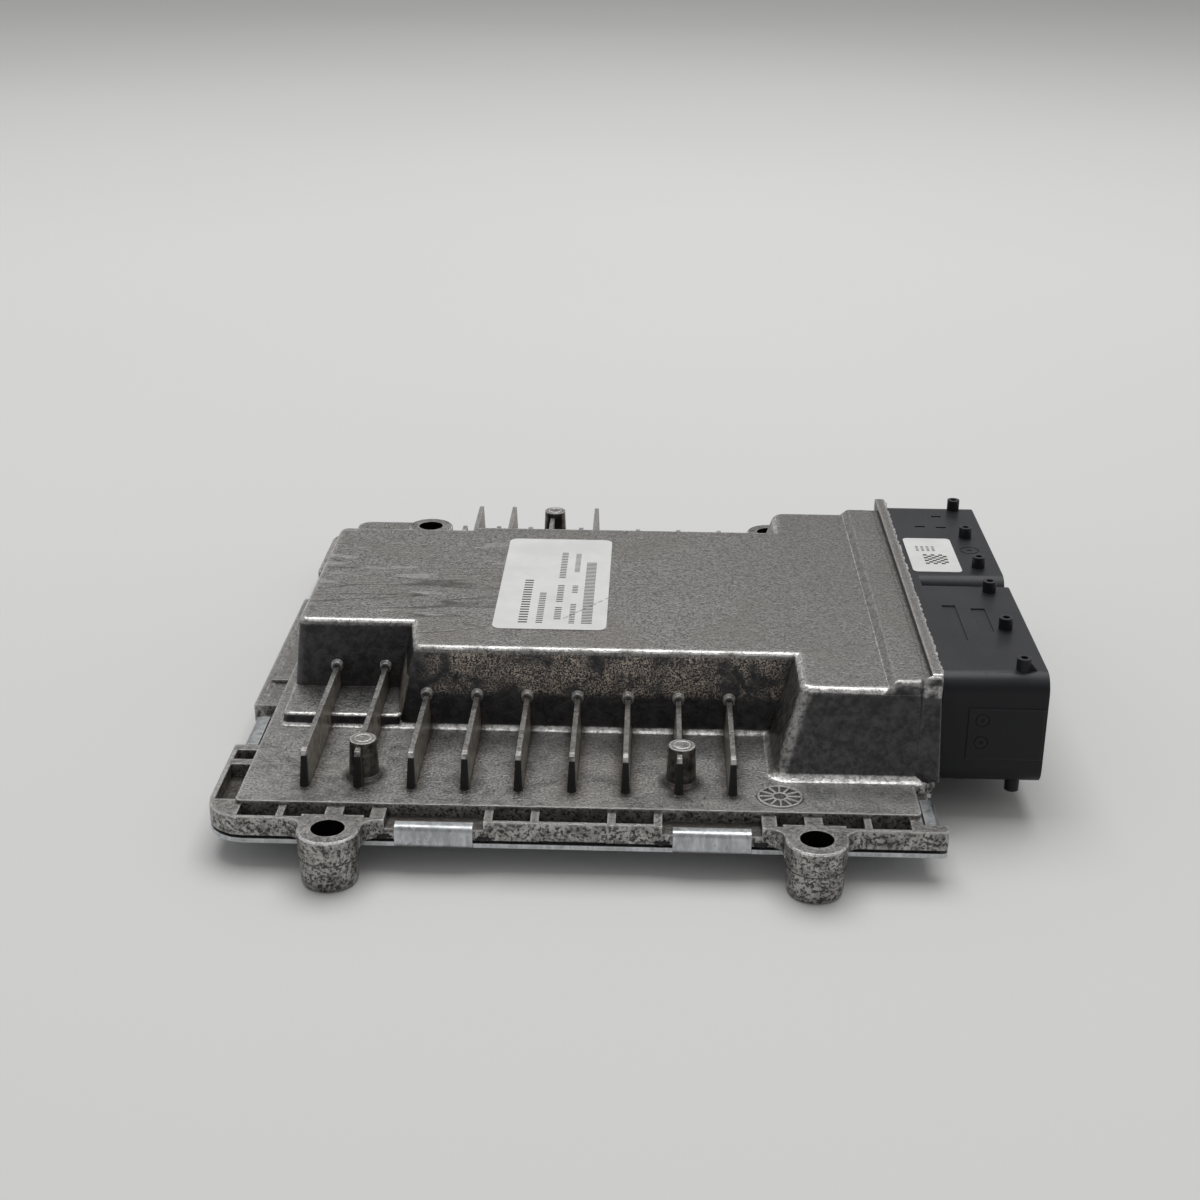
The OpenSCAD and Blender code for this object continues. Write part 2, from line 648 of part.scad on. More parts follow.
// Moulded body with two shrouded bays, a tail through the casting and plain raised and sunk panels
module connector_header() {
    whole = [bay_y0, bay_y1, bay_z0, bay_z1];
    rib_t = 1.4;
    color([0.09, 0.09, 0.1]) difference() {
        union() {
            box([tail_x0, bay_x0 + eps, open_y0 + fit, open_y1 - fit], seat_z, open_z - fit);
            along_x(bay_x0, bay_x0 + bay_flange) polygon(rounded(whole, shroud_r, shroud_r));
            for (bay = [front_bay, rear_bay]) {
                difference() {
                    along_x(bay_x0 + bay_flange - eps, bay_x1) polygon(rounded(bay, shroud_r, shroud_r));
                    along_x(bay_floor, bay_x1 + over)
                        polygon(rounded(grow(bay, -shroud_wall), shroud_r - shroud_wall + 0.8,
                            shroud_r - shroud_wall + 0.8));
                }
            }
            cam_posts();
            box([bay_floor - over, bay_x1 - 3, key_y, key_y + rib_t], bay_z0 + 1, bay_z1 - 1);
            for (z = [bay_z0 + 5, bay_z1 - 5 - rib_t])
                box([bay_floor - over, bay_x1 - 3, front_bay[1] - 4.5, front_bay[1] - 1], z, z + rib_t);
            box([bay_x0 + 5.8, bay_x1 - 0.5, bay_y0 - panel_t, bay_y0 + over],
                bay_z0 + 6.4, bay_z1 - 7.2);
        }
        pin_passages(signal_rows, front_signal_y, pin_t, pin_t);
        pin_passages(signal_rows, rear_signal_y, pin_t, pin_t);
        pin_passages(power_rows, front_power_y, blade_w, blade_t);
        pin_passages(power_rows, rear_power_y, blade_w, blade_t);
        for (p = [[4.8, 3.1, 0.358, 0.723], [11.2, 3.2, 0.449, 0.694]])
            sunk_panel(p[0], p[1], along(front_bay, p[2]), along(front_bay, p[3]));
        for (p = [[10.7, 0.815], [5.5, 0.67], [10.8, 0.663]])
            sunk_panel(p[0], 2.6, along(rear_bay, p[1]), along(rear_bay, p[1]) + 1);
        translate([bay_x0 + 16.8, along(rear_bay, 0.371), bay_z1 - mark_t]) round_mark(2.4);
        for (share = [0.41, 0.614])
            translate([bay_x0 + 8.6, bay_y0 - panel_t + mark_t, bay_z0 + share * (bay_z1 - bay_z0)])
                rotate([90, 0, 0]) round_mark(1.6);
    }
}

// Bead on three sides of the opening, between the rim and the connector
module header_seal() {
    color([0.04, 0.04, 0.04]) along_x(rim_x1, bay_x0) difference() {
        polygon(rounded([bay_y0 + 0.6, bay_y1 - 0.6, bay_z0, bay_z1 - 0.5], shroud_r, shroud_r));
        polygon([[open_y0, seat_z - over], [open_y1, seat_z - over], [open_y1, open_z], [open_y0, open_z]]);
    }
}

module front_signal_pins() {
    color([0.8, 0.76, 0.62]) pins(signal_rows, front_signal_y, pin_t, pin_t);
}
module front_power_pins() {
    color([0.8, 0.76, 0.62]) pins(power_rows, front_power_y, blade_w, blade_t);
}
module rear_signal_pins() {
    color([0.8, 0.76, 0.62]) pins(signal_rows, rear_signal_y, pin_t, pin_t);
}
module rear_power_pins() {
    color([0.8, 0.76, 0.62]) pins(power_rows, rear_power_y, blade_w, blade_t);
}

module circuit_board() {
    color([0.08, 0.3, 0.16]) difference() {
        translate([0, 0, board_z0]) linear_extrude(board_t) polygon(rounded(board, 2, 2, 3));
        for (s = screws) translate([s[0], s[1], board_z0 - over])
            cylinder(h = board_t + 2 * over, r = screw_r + 2 * screw_fit);
    }
}

// Block seated on the board, centred on a point
module on_board(at, size) {
    translate([at[0] - size[0] / 2, at[1] - size[1] / 2, board_z1]) cube(size);
}

// Chip on a thin carrier, with a smaller moulded top
module carrier_chip(at, side, h) {
    on_board(at, [side, side, h * 0.35]);
    on_board(at, [side - 3, side - 3, h]);
}

module microcontroller() {
    color([0.12, 0.12, 0.13]) carrier_chip(spot(-0.187, -0.095), 25, 2);
}
module flash_memory() {
    color([0.13, 0.13, 0.14]) on_board(spot(0.134, -0.095), [14, 11, 1.2]);
}
module supply_chip() {
    color([0.12, 0.12, 0.13]) carrier_chip(spot(-0.214, 0.214), 17, 2.2);
}
module driver_chips() {
    color([0.13, 0.13, 0.13]) for (v = [-0.333, -0.143, 0.048, 0.238])
        on_board(spot(0.441, v), [16, 11, 2.4]);
}

// Flat power packages under the front deck and the rear deck, with a soft pad on each
front_packages = [for (i = [0:7]) [fin_x0 + (i + 0.5) * fin_pitch, -deck_y + 22.6]];
rear_packages = [for (i = [2:6]) [fin_x0 + (i + 0.5) * fin_pitch, deck_y - 22.6]];
front_package = [8, 9];
rear_package = [8, 12];

module power_transistors() {
    color([0.11, 0.11, 0.12]) for (p = front_packages)
        on_board(p, [front_package[0], front_package[1], package_h]);
}
module output_stages() {
    color([0.11, 0.11, 0.12]) for (p = rear_packages)
        on_board(p, [rear_package[0], rear_package[1], package_h]);
}
module heat_pads() {
    color([0.55, 0.58, 0.65]) translate([0, 0, package_h]) {
        for (p = front_packages) on_board(p, [front_package[0] - 0.6, front_package[1] - 0.6, pad_t]);
        for (p = rear_packages) on_board(p, [rear_package[0] - 0.6, rear_package[1] - 0.6, pad_t]);
    }
}

// Upright can capacitors with the pressed groove near the foot
module electrolytic_capacitors() {
    can_r = 6.2;
    can_h = 14;
    color([0.3, 0.31, 0.34]) for (v = [-0.166, 0.012, 0.19]) translate([-0.695 * fx, v * fy, board_z1])
        rotate_extrude() polygon([[0, 0], [can_r, 0], [can_r, 1.6], [can_r - 0.6, 2.1], [can_r, 2.6],
            [can_r, can_h - 0.6], [can_r - 0.6, can_h], [0, can_h]]);
}
module ceramic_capacitors() {
    color([0.72, 0.6, 0.45]) for (i = [0:5], v = [-0.291, 0.368])
        on_board(spot(-0.321 + 0.08 * i, v), [3.2, 1.6, 1.3]);
}

// Shielded choke: square base with a round wound core
choke_at = spot(-0.468, 0.012);
module choke() {
    color([0.2, 0.2, 0.21]) {
        on_board(choke_at, [12, 12, 2]);
        translate([choke_at[0], choke_at[1], board_z1]) cylinder(h = 7, r = 5.4);
    }
}
module crystal() {
    color([0.78, 0.78, 0.8]) hull() for (side = [-1, 1])
        translate([0.107 * fx + side * 3.2, 0.095 * fy, board_z1]) cylinder(h = 3.5, r = 2.2);
}

// Air pressure sensor with its port open on top
sensor_at = spot(0.134, 0.261);
module pressure_sensor() {
    color([0.2, 0.2, 0.22]) difference() {
        union() {
            on_board(sensor_at, [8, 8, 3]);
            translate([sensor_at[0], sensor_at[1], board_z1]) cylinder(h = 4.6, r = 2.4);
        }
        translate([sensor_at[0], sensor_at[1], board_z1 + 2]) cylinder(h = 3, r = 1);
    }
}

// Pan-head screws from below the board into the bosses
module board_screws() {
    head_r = 2.7;
    head_h = 1.5;
    color([0.7, 0.7, 0.72]) for (s = screws) translate([s[0], s[1], board_z0]) difference() {
        union() {
            cylinder(h = screw_len - 0.5, r = screw_r);
            translate([0, 0, -head_h]) cylinder(h = head_h, r1 = head_r - 0.4, r2 = head_r);
        }
        translate([0, 0, -head_h - over]) cylinder(h = over + 0.9, r = 1.2, $fn = 6);
    }
}

module main_label() {
    at = spot(-0.275, -0.3705);
    color([0.86, 0.86, 0.85]) translate([0, 0, plateau_z]) linear_extrude(label_t)
        polygon(rounded([at[0], at[0] + label_w, at[1], at[1] + label_d], 2, 2));
}
module header_label() {
    x0 = bay_x0 + 1.2;
    y0 = along(rear_bay, 0.09);
    color([0.88, 0.88, 0.87]) translate([0, 0, bay_z1]) linear_extrude(label_t)
        polygon(rounded([x0, x0 + 11.7, y0, y0 + 23], 1.2, 1.2));
}

housing();
base_plate();
rim_seal();
connector_header();
header_seal();
front_signal_pins();
front_power_pins();
rear_signal_pins();
rear_power_pins();
circuit_board();
microcontroller();
flash_memory();
supply_chip();
driver_chips();
power_transistors();
output_stages();
heat_pads();
electrolytic_capacitors();
ceramic_capacitors();
choke();
crystal();
pressure_sensor();
board_screws();
main_label();
header_label();
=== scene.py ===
import math

import bmesh
import bpy
from mathutils import Matrix, Vector, noise


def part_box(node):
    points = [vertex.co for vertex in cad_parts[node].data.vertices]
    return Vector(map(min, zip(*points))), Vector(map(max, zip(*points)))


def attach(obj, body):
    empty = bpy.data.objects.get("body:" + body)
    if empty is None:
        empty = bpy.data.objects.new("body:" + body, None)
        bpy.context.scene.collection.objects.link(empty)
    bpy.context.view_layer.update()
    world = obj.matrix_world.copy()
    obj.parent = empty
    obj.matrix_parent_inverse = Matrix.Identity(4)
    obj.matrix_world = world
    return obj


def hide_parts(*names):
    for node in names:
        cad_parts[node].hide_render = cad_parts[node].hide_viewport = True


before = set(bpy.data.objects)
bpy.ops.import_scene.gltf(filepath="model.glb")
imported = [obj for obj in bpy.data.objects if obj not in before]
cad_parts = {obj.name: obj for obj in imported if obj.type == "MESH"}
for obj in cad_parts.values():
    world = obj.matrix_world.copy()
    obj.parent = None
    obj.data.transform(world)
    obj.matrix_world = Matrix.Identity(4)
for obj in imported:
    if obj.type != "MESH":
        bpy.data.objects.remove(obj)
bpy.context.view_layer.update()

MM = 0.001

# Camera in the part's own frame, as the photograph was taken
CAMERA_AT = Vector((14.0, -407.2, 191.5)) * MM
PITCH = math.radians(22.15)
YAW = math.radians(-1.58)
ROLL = math.radians(-0.52)
PHOTO_PX = 1200
FOCAL_PX = 1835.5
SENSOR = 36.0
CLIP_START = 0.01

# Light: even room light, and a softbox over the part, a little behind it. Lengths in metres
WORLD_LIGHT = 0.37
WORLD_TINT = (1.0, 1.0, 0.995, 1.0)
SOFTBOX_SIDE = 1.3
SOFTBOX_AT = Vector((0.0, 0.5, 1.4))
SOFTBOX_POWER = 15.5
FLOOR_HALF = 5.0

# Meshes: weld distance in metres, sharpest fold that is shaded smooth, steps in a full turn
WELD = 2e-6
SMOOTH_BELOW = math.radians(32)
TURN_STEPS = 32
TUBE_STEPS = 8

# Places on the casting, in millimetres. A boss also has the height of its top
DECK_Z = 12.1
FIN_AT = -56.0
FIN_PITCH = 11.05
WHEEL_AT = (42.1, -72.1)
BOSSES = ((-44.45, -66.3, 20.6), (21.85, -66.3, 20.6), (-11.69, 69.5, 23.7))
HOLES = ((-48.5, -88.5), (48.5, -88.5), (-48.5, 88.5), (48.5, 88.5))
NOTCH_ENDS_X = (-38.0, -18.0, 18.0, 38.0)
BLOCK_DRAFT = 0.2965

# Ring on a boss and flare round its foot: radius and height of each point
BOSS_RING = ((1.45, -0.1), (1.95, -0.1), (1.9, 0.12), (1.7, 0.2), (1.5, 0.12))
BOSS_FLARE = ((2.9, -0.1), (4.0, -0.1), (3.65, 0.1), (3.4, 0.4), (3.2, 0.9), (2.9, 1.0))

# Fields of ticks on the main label: left, right, front and rear as shares of the label,
# then pitch and width of the ticks
MAIN_PRINT = ((0.22, 0.30, 0.06, 0.53, 1.5, 0.7), (0.375, 0.435, 0.06, 0.40, 1.1, 0.5),
              (0.53, 0.59, 0.10, 0.24, 1.1, 0.5), (0.53, 0.59, 0.28, 0.48, 1.1, 0.5),
              (0.53, 0.59, 0.54, 0.85, 1.1, 0.5), (0.665, 0.715, 0.06, 0.27, 1.0, 0.45),
              (0.665, 0.715, 0.38, 0.47, 1.0, 0.45), (0.665, 0.715, 0.61, 0.84, 0.8, 0.35),
              (0.775, 0.87, 0.06, 0.74, 0.9, 0.45))
TICK_HEIGHT = 0.02

# Rubbed line over the main label: where it starts and how steep it runs
SCUFF_AT = (-4.7, -24.8)
SCUFF_SLOPE = 1.31

# Colours of the casting. A pair runs from dark to light
GRAIN = ((0.16, 0.155, 0.148), (0.45, 0.443, 0.43))
DULL = (0.19, 0.184, 0.176)
WARM = (0.265, 0.241, 0.217)
SHADE = (0.2, 0.196, 0.19)
FLOW_LINE = (0.08, 0.075, 0.07)
PALE = (0.50, 0.495, 0.485)
DECK_GRAIN = (0.5, 0.49, 0.475)
STAIN = (0.075, 0.08, 0.09)
# Darker brown on the deck close to the fins
BY_FIN_DARK = (0.10, 0.083, 0.066)
# Painted shade on the floors of the pockets in the lip
POCKET_SHADE = (0.075, 0.064, 0.053)
FIN_TOP = (0.12, 0.113, 0.105)
# Painted shade in the grooves of the date wheel
WHEEL_GROOVE_SHADE = (0.05, 0.047, 0.044)
# Painted shade: the drafted walls are darker than the tops
WALL_SHADE = ((0.048, 0.047, 0.05), (0.098, 0.095, 0.098))
OXIDE = (0.60, 0.52, 0.44)
# Painted light on the side wall of the recess, with streaks
LIT_RECESS_WALL = ((0.13, 0.127, 0.125), (0.42, 0.41, 0.40))
TAN = ((0.16, 0.142, 0.122), (0.40, 0.362, 0.318))
SMOKE = ((0.05, 0.047, 0.043), (0.16, 0.145, 0.13))
# Painted shade on the front ends of the fins
FIN_END_SHADE = (0.022, 0.021, 0.02)
SKIRT = ((0.2, 0.193, 0.185), (0.52, 0.51, 0.49))
PIT = (0.035, 0.032, 0.03)
# Brown dirt and painted shade deep in crevices
CREVICE_DIRT_AND_SHADE = (0.10, 0.082, 0.064)
# Painted shade in tight corners and grooves
CORNER_SHADE = (0.03, 0.027, 0.024)
BOSS_FOOT = (0.07, 0.063, 0.056)
# Painted highlight and wear on fillets that face half up
FILLET_WEAR_AND_HIGHLIGHT = (0.88, 0.87, 0.85)
# Painted highlight and wear along the crown of the plateau
CROWN_WEAR_AND_HIGHLIGHT = (0.74, 0.73, 0.71)
# Painted highlight and wear on outer edges
EDGE_WEAR_AND_HIGHLIGHT = (0.76, 0.75, 0.73)
# Painted highlight on the fin tips and the knobs
TIP_HIGHLIGHT = (0.85, 0.84, 0.82)
# Painted shade inside the mounting holes
BORE_SHADE = (0.02, 0.018, 0.016)

# Colours of the sheet, the header, the beads, the labels and the floor
ZINC = ((0.38, 0.395, 0.405), (0.60, 0.62, 0.63))
ZINC_DULL = (0.36, 0.37, 0.375)
ZINC_STAIN = (0.14, 0.136, 0.13)
ZINC_EDGE = (0.75, 0.76, 0.77)
# Header: a lighter top as painted light, sides in painted shade with a lighter end, and a painted
# highlight on the edges
HEADER_LIT_TOP = ((0.016, 0.017, 0.020), (0.026, 0.027, 0.031))
HEADER_SIDE_SHADE = ((0.013, 0.0133, 0.0155), (0.02, 0.0205, 0.023))
HEADER_EDGE_HIGHLIGHT = (0.075, 0.076, 0.082)
BEAD = ((0.008, 0.008, 0.008), (0.02, 0.02, 0.021))
FILM = ((0.70, 0.70, 0.69), (0.76, 0.76, 0.75))
FILM_RUB = (0.5, 0.495, 0.48)
FILM_SCUFF = (0.2, 0.195, 0.19)
FLOOR = ((0.69, 0.69, 0.685), (0.72, 0.72, 0.715))


class Look:
    """A procedural material, worked out in the part's own frame with sizes in millimetres."""

    def __init__(self, name, **sockets):
        self.material = bpy.data.materials.new(name)
        self.material.use_nodes = True
        self.tree = self.material.node_tree
        self.shader = self.tree.nodes["Principled BSDF"]
        self.set(**sockets)
        self.place = self.add("ShaderNodeTexCoord").outputs["Object"]
        self.facing = self.add("ShaderNodeNewGeometry").outputs["Normal"]

    def add(self, kind, **settings):
        node = self.tree.nodes.new(kind)
        for key, value in settings.items():
            setattr(node, key, value)
        return node

    def feed(self, socket, value):
        """Links an output to a socket, or sets the socket's own value."""
        if isinstance(value, bpy.types.NodeSocket):
            self.tree.links.new(value, socket)
        else:
            socket.default_value = value

    def set(self, **sockets):
        """Feeds the shader and gives back the material."""
        for socket, value in sockets.items():
            self.feed(self.shader.inputs[socket.replace("_", " ")], value)
        return self.material

    def math(self, operation, a, b=0.0):
        node = self.add("ShaderNodeMath", operation=operation)
        self.feed(node.inputs[0], a)
        self.feed(node.inputs[1], b)
        return node.outputs[0]

    def axis(self, vector, name):
        node = self.add("ShaderNodeSeparateXYZ")
        self.feed(node.inputs[0], vector)
        return node.outputs[name]

    # Shares, from 0 to 1

    def ease(self, value, low, high, out_low=0.0, out_high=1.0):
        """Smooth step of a value from low to high."""
        node = self.add("ShaderNodeMapRange", interpolation_type="SMOOTHSTEP")
        self.feed(node.inputs["Value"], value)
        node.inputs["From Min"].default_value = low
        node.inputs["From Max"].default_value = high
        node.inputs["To Min"].default_value = out_low
        node.inputs["To Max"].default_value = out_high
        return node.outputs["Result"]

    def ramp(self, place, low, high, out_low=0.0, out_high=1.0):
        """Smooth step of a place from low to high, in millimetres."""
        return self.ease(place, low * MM, high * MM, out_low, out_high)

    def spare(self, share, rest):
        """Full where a share is nil, and the rest where it is full."""
        return self.ease(share, 0.0, 1.0, 1.0, rest)

    def both(self, *shares):
        """Product of several shares."""
        total = shares[0]
        for share in shares[1:]:
            total = self.math("MULTIPLY", total, share)
        return total

    def between(self, place, low, high, soft=0.3):
        """Share of a place that lies between two limits in millimetres, with soft ends."""
        return self.both(self.ramp(place, low - soft, low),
                         self.ramp(place, high, high + soft, 1.0, 0.0))

    def zone(self, **spans):
        """Share within a span of each axis named: low, high and perhaps how soft the ends are."""
        return self.both(*(self.between(self.axis(self.place, name.upper()), *span)
                           for name, span in spans.items()))

    def closeness(self, reach, inside=False):
        """How much other surface is in reach: outside in crevices, inside at outer edges."""
        node = self.add("ShaderNodeAmbientOcclusion", samples=4, inside=inside, only_local=True)
        node.inputs["Distance"].default_value = reach * MM
        return self.math("SUBTRACT", 1.0, node.outputs["AO"])

    def noise(self, size, detail=3.0, rough=0.55, twist=0.0):
        """Noise with a feature size in millimetres, one number or one for each axis."""
        sizes = size if isinstance(size, tuple) else (size,) * 3
        scaled = self.add("ShaderNodeMapping")
        self.feed(scaled.inputs["Vector"], self.place)
        scaled.inputs["Scale"].default_value = [1 / (s * MM) for s in sizes]
        node = self.add("ShaderNodeTexNoise")
        self.feed(node.inputs["Vector"], scaled.outputs["Vector"])
        node.inputs["Scale"].default_value = 1.0
        node.inputs["Detail"].default_value = detail
        node.inputs["Roughness"].default_value = rough
        node.inputs["Distortion"].default_value = twist
        return node.outputs["Fac"]

    # Distances, in millimetres

    def off_axis(self, x, y):
        """Distance from an upright axis."""
        flat = self.add("ShaderNodeVectorMath", operation="MULTIPLY")
        self.feed(flat.inputs[0], self.place)
        flat.inputs[1].default_value = (1.0, 1.0, 0.0)
        node = self.add("ShaderNodeVectorMath", operation="DISTANCE")
        self.feed(node.inputs[0], flat.outputs["Vector"])
        node.inputs[1].default_value = (x * MM, y * MM, 0.0)
        return self.math("DIVIDE", node.outputs["Value"], MM)

    def off_row(self, place, first, pitch):
        """Distance from the nearest of a row of planes."""
        turns = self.math("DIVIDE", self.math("SUBTRACT", place, first * MM), pitch * MM)
        return self.math("MULTIPLY", self.math("PINGPONG", turns, 0.5), pitch)

    # Colours and normals

    def mix(self, share, a, b):
        node = self.add("ShaderNodeMix", data_type="RGBA")
        self.feed(node.inputs["Factor"], share)
        for socket, colour in ((node.inputs[6], a), (node.inputs[7], b)):
            self.feed(socket, (*colour, 1.0) if isinstance(colour, tuple) else colour)
        return node.outputs[2]

    def coats(self, colour, *coats):
        """Lays coats over a colour, each given as its share and its own colour."""
        for share, coat in coats:
            colour = self.mix(share, colour, coat)
        return colour

    def soft_edges(self, radius):
        node = self.add("ShaderNodeBevel", samples=4)
        node.inputs["Radius"].default_value = radius * MM
        return node.outputs["Normal"]

    def bump(self, height, depth, normal=None):
        node = self.add("ShaderNodeBump")
        node.inputs["Distance"].default_value = depth * MM
        node.inputs["Strength"].default_value = 1.0
        self.feed(node.inputs["Height"], height)
        if normal is not None:
            self.feed(node.inputs["Normal"], normal)
        return node.outputs["Normal"]


class Casting(Look):
    """Die casting: grainy tops, drafted walls in painted shade, fillets and edges with wear and
    painted highlights, fins with dirt, painted shade and painted highlights, and pitted feet.
    """

    def __init__(self):
        super().__init__("cast_aluminium")
        self.x, self.y, self.z = (self.axis(self.place, name) for name in "XYZ")
        self.up = self.axis(self.facing, "Z")
        self.sideways = self.ease(self.math("ABSOLUTE", self.axis(self.facing, "X")), 0.6, 0.8)
        self.blotch = self.noise(7.0, 4.0, 0.62, 0.6)
        self.mottle = self.noise(2.2, 4.0, 0.65)
        self.grain = self.noise(0.55, 3.0, 0.65)
        self.pit = self.ease(self.noise(0.75, 4.0, 0.75), 0.49, 0.57)

        # Parts of the casting that have a look of their own
        self.lip = self.ramp(self.z, 11.8, 12.4, 1.0, 0.0)
        self.deck = self.zone(z=(11.5, 15.5))
        off_boss = self.math("MINIMUM", *(self.off_axis(x, y) for x, y, _ in BOSSES[:2]))
        self.bosses = self.both(self.ease(off_boss, 3.9, 5.6, 1.0, 0.0), self.zone(z=(12.0, 20.3)))
        self.fin_sides = self.both(self.sideways, self.zone(x=(-58.5, 39.5), z=(12.3, 23.5)),
                                   self.between(self.math("ABSOLUTE", self.y), 28, 76))
        fins = self.zone(x=(-60, 37), y=(-73.5, -28))
        self.fin_tops = self.both(fins, self.zone(y=(-74, -45.5), z=(17.5, 20.2, 0.1)))
        # Front top corners of the fins, where a highlight is painted
        self.fin_tips = self.both(fins, self.zone(y=(-71.9, -69.7, 0.5), z=(19.1, 20.4, 0.3)))
        self.fin_body = self.both(fins, self.zone(y=(-74, -45), z=(12.5, 19.8, 0.1)))
        off_fin = self.off_row(self.x, FIN_AT, FIN_PITCH)
        self.by_fin = self.both(fins, self.zone(y=(-75, -40)),
                                self.ease(off_fin, 0.6, 3.4, 1.0, 0.0))
        # Tops of the knobs, where a highlight is painted
        self.knobs = self.both(self.zone(x=(-60, 37), y=(-47, -24), z=(20.4, 22.6, 0.2)),
                               self.ease(off_fin, 1.3, 1.9, 1.0, 0.0),
                               self.ease(self.up, 0.35, 0.75))
        self.flow_line, self.pale = self.flow_marks()

    def flow_marks(self):
        """Dark lines and pale patches where the metal ran, on the left half of the plateau."""
        here = self.both(self.ramp(self.x, -32, -8, 1.0, 0.0), self.ramp(self.z, 30.6, 30.9))
        flow = self.noise((75.0, 13.0, 60.0), 2.0, 0.45, 0.3)
        bands = self.math("PINGPONG", self.math("MULTIPLY", flow, 7.0), 0.5)
        line = self.both(self.ease(bands, 0.0, 0.13, 1.0, 0.0), here,
                         self.ramp(self.y, 4, 18, 1.0, 0.0),
                         self.ease(self.blotch, 0.36, 0.6, 0.4, 1.0))
        pale = self.both(here, self.ease(self.noise((16.0, 3.6, 60.0), 2.0, 0.4), 0.61, 0.64))
        return line, pale

    def top(self):
        """Colour of what faces up, with painted shade in the pockets and in the grooves of the date
        wheel.
        """
        cloud = self.noise(20.0, 3.0, 0.55, 0.5)
        speckle = self.ease(self.grain, 0.34, 0.66, 1.0, 0.35)
        stain = self.both(self.deck, self.ease(self.blotch, 0.4, 0.64),
                          self.ease(self.mottle, 0.34, 0.6, 0.2, 1.0), speckle)
        # Darker brown on the deck close to the fins
        by_fin_dark = self.both(self.deck, self.by_fin, self.ease(self.mottle, 0.3, 0.6, 0.45, 1.0),
                         speckle)
        # Floors of the pockets in the lip, which get painted shade
        pockets = self.ramp(self.z, 9, 10.6, 1.0, 0.0)
        # Sunk floor of the date wheel, where shade is painted
        wheel = self.both(self.ease(self.off_axis(*WHEEL_AT), 4.6, 5.2, 1.0, 0.0),
                          self.zone(z=(11.9, 13)))
        return self.coats(
            self.mix(self.ease(self.grain, 0.36, 0.64), *GRAIN),
            (self.ease(self.mottle, 0.42, 0.7, 0.0, 0.55), DULL),
            (self.ease(cloud, 0.4, 0.7, 0.0, 0.5), WARM),
            (self.ramp(self.x, 10, 60, 0.0, 0.35), SHADE),
            (self.both(self.flow_line, 0.8), FLOW_LINE),
            (self.both(self.pale, 0.55), PALE),
            (self.both(self.deck, self.ease(self.grain, 0.3, 0.7, 0.05, 0.45)), DECK_GRAIN),
            (self.both(stain, 0.9), STAIN),
            (by_fin_dark, BY_FIN_DARK),
            (self.both(pockets, self.ease(self.mottle, 0.3, 0.6, 0.5, 0.9)), POCKET_SHADE),
            (self.both(self.fin_tops, self.ease(self.mottle, 0.36, 0.6, 0.7, 0.15)), FIN_TOP),
            (self.both(wheel, self.ramp(self.z, 12.18, 12.3, 0.75, 0.0)), WHEEL_GROOVE_SHADE))

    def wall(self):
        """Colour of the drafted walls, the fins and the bosses, painted darker than the tops as
        shade.
        """
        streak = self.noise((0.9, 0.9, 4.0), 3.0, 0.6)
        speck = self.ease(self.noise(0.36, 3.0, 0.7), 0.46, 0.58)
        main_wall = self.zone(x=(-30, 40, 8), y=(-46, -40), z=(21.5, 29, 2))
        recess_side = self.both(self.sideways, self.zone(x=(40, 50), z=(12.5, 31)))
        fin_ends = self.zone(y=(-74, -71), z=(12.3, 20.2))
        return self.coats(
            # Base of the walls: painted shade, darker than the tops
            self.mix(self.ease(self.mottle, 0.35, 0.7), *WALL_SHADE),
            (self.both(main_wall, self.ease(self.blotch, 0.36, 0.6), speck), OXIDE),
            # Side wall of the recess: painted light, with streaks
            (self.both(recess_side, 0.8), self.mix(self.ease(streak, 0.35, 0.65), *LIT_RECESS_WALL)),
            (self.fin_sides, self.mix(self.ease(self.mottle, 0.32, 0.66), *TAN)),
            (self.bosses, self.mix(self.ease(self.mottle, 0.35, 0.65), *SMOKE)),
            # Front ends of the fins: painted shade
            (self.both(fin_ends, 0.9), FIN_END_SHADE))

    def skirt(self):
        """Colour of the lip's sides and the feet."""
        return self.coats(
            self.mix(self.ease(self.mottle, 0.3, 0.66), *SKIRT),
            (self.both(self.pit, 0.88), PIT))

    def build(self):
        """Puts the colours together, with dirt and painted shade in the corners, and wear and
        painted highlights on the fillets and edges.
        """
        # Tops take the lighter colour, the walls take painted shade
        level = self.ease(self.up, 0.32, 0.62)
        # Fillets half way between wall and top, where a highlight is painted, with wear
        bend = self.both(self.ease(self.up, 0.28, 0.5), self.ease(self.up, 0.9, 0.985, 1.0, 0.0))
        edge = self.ease(self.closeness(0.9, inside=True), 0.15, 0.55)
        verge = self.ease(self.closeness(1.8, inside=True), 0.03, 0.2)
        crevice = self.ease(self.closeness(6.0), 0.5, 0.9)
        corner_shade = self.ease(self.closeness(0.8), 0.18, 0.55)
        boss_foot = self.both(self.bosses, self.ramp(self.z, 13.4, 14.4, 1.0, 0.0))
        # Patches of the painted highlights and wear
        patchy = self.ease(self.noise(1.1, 5.0, 0.75), 0.36, 0.62, 0.2, 1.0)
        strip = self.zone(z=(31.3, 33.8))
        bends_left = self.both(self.ramp(self.z, 9, 10), self.spare(self.bosses, 0.1),
                               self.spare(self.by_fin, 0.1), self.spare(strip, 0.3))
        crown = self.zone(z=(29.8, 31.4, 0.7))
        rim_end = self.zone(x=(73, 75.3), z=(12, 33))
        edges_left = self.both(self.spare(self.fin_body, 0.02), self.spare(self.fin_tops, 0.5),
                               self.spare(self.bosses, 0.05), self.ramp(self.z, 7, 9, 0.2, 1.0),
                               self.spare(rim_end, 0.15), 0.8)
        off_bores = self.both(*(self.ease(self.off_axis(*hole), 3.35, 3.5) for hole in HOLES))

